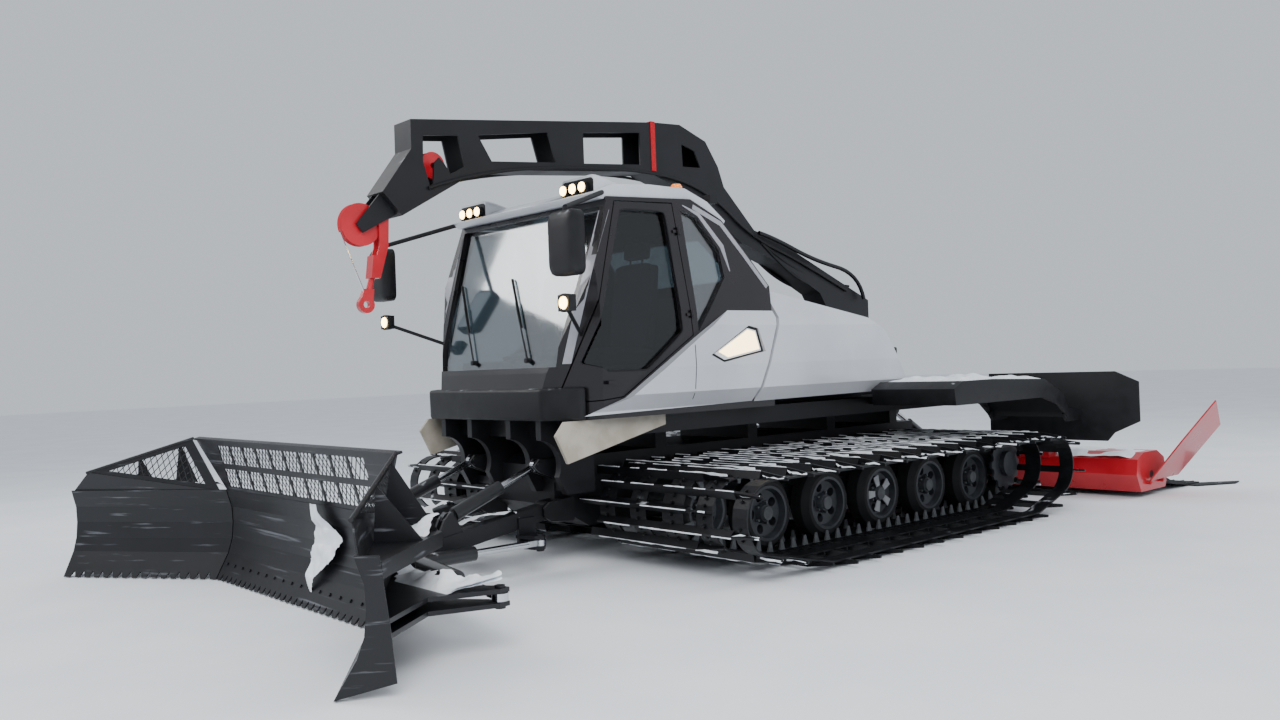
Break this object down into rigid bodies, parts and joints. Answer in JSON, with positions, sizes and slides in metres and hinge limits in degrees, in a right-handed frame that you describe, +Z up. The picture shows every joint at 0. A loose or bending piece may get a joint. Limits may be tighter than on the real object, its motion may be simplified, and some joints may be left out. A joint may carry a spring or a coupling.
{
  "type": "tracked snow groomer",
  "caption": "Tracked snow groomer with a folding front blade, a winch boom over the cab and a rear tiller with a finisher.",
  "frame": {"origin": "on the ground under the middle of the box round the whole machine at rest", "axes": "+X forward, towards the blade; +Y to the machine's left; +Z up"},
  "size_m": [10.172, 5.6196, 3.565],
  "materials": {
    "frame_black": "satin",
    "engine_grey": "matte",
    "track_steel": "worn",
    "tyre": "matte",
    "rim_steel": "satin",
    "cab_black": "satin",
    "silver_panel": "gloss",
    "black_plastic": "matte",
    "glass": "clear",
    "seat_cloth": "matte",
    "skirt_grey": "matte",
    "boom_black": "satin",
    "red_paint": "gloss",
    "lamp_lens": "gloss",
    "blade_black": "satin",
    "barrel_black": "gloss",
    "rod_chrome": "polished",
    "finisher_rubber": "matte"
  },
  "bodies": {
    "machine": {"chassis": "frame_black", "engine": "engine_grey", "track_left": "track_steel", "track_right": "track_steel", "tyres": "tyre", "wheels": "rim_steel", "cab_frame": "cab_black", "cab_roof": "silver_panel", "cab_nose": "black_plastic", "cab_glass": "glass", "seats": "seat_cloth", "side_panels": "silver_panel", "engine_deck": "black_plastic", "skirts": "skirt_grey", "fenders": "black_plastic", "mirrors": "black_plastic", "lamps": "lamp_lens", "winch": "frame_black"},
    "door_left": {"door_left": "cab_black", "door_glass_left": "glass"},
    "door_right": {"door_right": "cab_black", "door_glass_right": "glass"},
    "boom": {"boom": "boom_black", "hook": "red_paint"},
    "tiller": {"tiller_frame": "frame_black", "tiller_hood": "red_paint", "finisher": "finisher_rubber"},
    "engine_cover_left": {"engine_cover_left": "silver_panel"},
    "engine_cover_right": {"engine_cover_right": "silver_panel"},
    "tip_sheave": {"tip_sheave": "red_paint"},
    "inner_sheave": {"inner_sheave": "red_paint"},
    "push_frame": {"push_frame": "frame_black"},
    "swing_head": {"swing_head": "frame_black"},
    "blade": {"blade": "blade_black"},
    "wing_left": {"wing_left": "blade_black"},
    "wing_right": {"wing_right": "blade_black"},
    "lift_barrels": {"lift_barrels": "barrel_black"},
    "lift_rods": {"lift_rods": "rod_chrome"},
    "swing_barrel_left": {"swing_barrel_left": "barrel_black"},
    "swing_rod_left": {"swing_rod_left": "rod_chrome"},
    "swing_barrel_right": {"swing_barrel_right": "barrel_black"},
    "swing_rod_right": {"swing_rod_right": "rod_chrome"},
    "wing_barrel_left": {"wing_barrel_left": "barrel_black"},
    "wing_rod_left": {"wing_rod_left": "rod_chrome"},
    "wing_barrel_right": {"wing_barrel_right": "barrel_black"},
    "wing_rod_right": {"wing_rod_right": "rod_chrome"},
    "tiller_shaft": {"tiller_shaft": "rim_steel"},
    "tiller_side_left": {"tiller_side_left": "red_paint"},
    "tiller_side_right": {"tiller_side_right": "red_paint"},
    "tiller_barrels": {"tiller_barrels": "barrel_black"},
    "tiller_rods": {"tiller_rods": "rod_chrome"}
  },
  "joints": [
    {"name": "blade_lift", "type": "hinge", "parent": "machine", "child": "push_frame", "pos_m": [2.5, 0, 0.42], "axis": [0, -1, 0], "range_deg": [-4, 28]},
    {"name": "lift_barrels_turn", "type": "hinge", "parent": "push_frame", "child": "lift_barrels", "pos_m": [3.33, 0, 0.462], "axis": [0, -1, 0], "range_deg": [-2, 2]},
    {"name": "lift_rods_slide", "type": "slide", "parent": "lift_barrels", "child": "lift_rods", "axis": [-0.9326, 0, 0.3609], "range_m": [-0.1768, 0.0338]},
    {"name": "blade_swing", "type": "hinge", "parent": "push_frame", "child": "swing_head", "pos_m": [3.82, 0, 0.235], "axis": [0, 0, 1], "range_deg": [-16, 16]},
    {"name": "swing_barrel_turn_left", "type": "hinge", "parent": "swing_head", "child": "swing_barrel_left", "pos_m": [3.96, 0.64, 0.235], "axis": [0, 0, 1], "range_deg": [-16, 16]},
    {"name": "swing_rod_slide_left", "type": "slide", "parent": "swing_barrel_left", "child": "swing_rod_left", "axis": [-1, 0, 0], "range_m": [-0.1879, 0.1879]},
    {"name": "swing_barrel_turn_right", "type": "hinge", "parent": "swing_head", "child": "swing_barrel_right", "pos_m": [3.96, -0.64, 0.235], "axis": [0, 0, 1], "range_deg": [-16, 16]},
    {"name": "swing_rod_slide_right", "type": "slide", "parent": "swing_barrel_right", "child": "swing_rod_right", "axis": [-1, 0, 0], "range_m": [-0.1879, 0.1879]},
    {"name": "blade_tilt", "type": "hinge", "parent": "swing_head", "child": "blade", "pos_m": [4.06, 0, 0.235], "axis": [1, 0, 0], "range_deg": [-8, 8]},
    {"name": "wing_fold_left", "type": "hinge", "parent": "blade", "child": "wing_left", "pos_m": [4.085, 1.2549, 0.3], "axis": [0, 0, 1], "range_deg": [0, 50]},
    {"name": "wing_barrel_turn_left", "type": "hinge", "parent": "blade", "child": "wing_barrel_left", "pos_m": [3.85, 0.85, 0.3], "axis": [0, 0, 1], "range_deg": [-1, 37]},
    {"name": "wing_rod_slide_left", "type": "slide", "parent": "wing_barrel_left", "child": "wing_rod_left", "axis": [0.1836, 0.983, 0], "range_m": [-0.2344, 0.01]},
    {"name": "wing_fold_right", "type": "hinge", "parent": "blade", "child": "wing_right", "pos_m": [4.085, -1.2549, 0.3], "axis": [0, 0, -1], "range_deg": [0, 50]},
    {"name": "wing_barrel_turn_right", "type": "hinge", "parent": "blade", "child": "wing_barrel_right", "pos_m": [3.85, -0.85, 0.3], "axis": [0, 0, -1], "range_deg": [-1, 37]},
    {"name": "wing_rod_slide_right", "type": "slide", "parent": "wing_barrel_right", "child": "wing_rod_right", "axis": [0.1836, -0.983, 0], "range_m": [-0.2344, 0.01]},
    {"name": "door_left_open", "type": "hinge", "parent": "machine", "child": "door_left", "pos_m": [1.462, 1.046, 1.69], "axis": [0.1189, -0.0693, 0.9905], "range_deg": [0, 75]},
    {"name": "engine_cover_left_open", "type": "hinge", "parent": "machine", "child": "engine_cover_left", "pos_m": [0.55777, 0.64, 2.07379], "axis": [0.9826, 0, 0.1856], "range_deg": [0, 75]},
    {"name": "door_right_open", "type": "hinge", "parent": "machine", "child": "door_right", "pos_m": [1.462, -1.046, 1.69], "axis": [-0.1189, -0.0693, -0.9905], "range_deg": [0, 75]},
    {"name": "engine_cover_right_open", "type": "hinge", "parent": "machine", "child": "engine_cover_right", "pos_m": [0.55777, -0.64, 2.07379], "axis": [-0.9826, 0, -0.1856], "range_deg": [0, 75]},
    {"name": "boom_slew", "type": "hinge", "parent": "machine", "child": "boom", "pos_m": [-1.75, 0, 1.64], "axis": [0, 0, 1], "range_deg": [-180, 180]},
    {"name": "tip_sheave_spin", "type": "hinge", "parent": "boom", "child": "tip_sheave", "pos_m": [3.689, 0, 2.522], "axis": [0, 1, 0], "continuous": true},
    {"name": "inner_sheave_spin", "type": "hinge", "parent": "boom", "child": "inner_sheave", "pos_m": [3.096, 0, 2.99], "axis": [0, 1, 0], "continuous": true},
    {"name": "tiller_lift", "type": "hinge", "parent": "machine", "child": "tiller", "pos_m": [-2.33, 0, 0.6], "axis": [0, 1, 0], "range_deg": [-4, 35]},
    {"name": "tiller_barrels_turn", "type": "hinge", "parent": "tiller", "child": "tiller_barrels", "pos_m": [-2.9, 0, 0.56], "axis": [0, 1, 0], "range_deg": [-8, 2]},
    {"name": "tiller_rods_slide", "type": "slide", "parent": "tiller_barrels", "child": "tiller_rods", "axis": [0.87, 0, 0.493], "range_m": [-0.1767, 0.0291]},
    {"name": "tiller_shaft_spin", "type": "hinge", "parent": "tiller", "child": "tiller_shaft", "pos_m": [-3.56, 0, 0.215], "axis": [0, 1, 0], "continuous": true},
    {"name": "tiller_side_left_fold", "type": "hinge", "parent": "tiller", "child": "tiller_side_left", "pos_m": [-3.62, 2.292, 0.14], "axis": [1, 0, 0], "range_deg": [-57, 0]},
    {"name": "tiller_side_right_fold", "type": "hinge", "parent": "tiller", "child": "tiller_side_right", "pos_m": [-3.62, -2.292, 0.14], "axis": [-1, 0, 0], "range_deg": [-57, 0]}
  ],
  "couplings": [
    {"joint": "lift_barrels_turn", "follows": "blade_lift", "ratio": 0.00375},
    {"joint": "lift_rods_slide", "follows": "blade_lift", "m_per_rad": -0.34126},
    {"joint": "swing_barrel_turn_left", "follows": "blade_swing", "ratio": -0.88924},
    {"joint": "swing_rod_slide_left", "follows": "blade_swing", "m_per_rad": -0.63719},
    {"joint": "swing_barrel_turn_right", "follows": "blade_swing", "ratio": -0.88924},
    {"joint": "swing_rod_slide_right", "follows": "blade_swing", "m_per_rad": 0.63719},
    {"joint": "wing_barrel_turn_left", "follows": "wing_fold_left", "ratio": 0.70472},
    {"joint": "wing_rod_slide_left", "follows": "wing_fold_left", "m_per_rad": -0.25718},
    {"joint": "wing_barrel_turn_right", "follows": "wing_fold_right", "ratio": 0.70472},
    {"joint": "wing_rod_slide_right", "follows": "wing_fold_right", "m_per_rad": -0.25718},
    {"joint": "tiller_barrels_turn", "follows": "tiller_lift", "ratio": -0.19144},
    {"joint": "tiller_rods_slide", "follows": "tiller_lift", "m_per_rad": -0.27296}
  ]
}
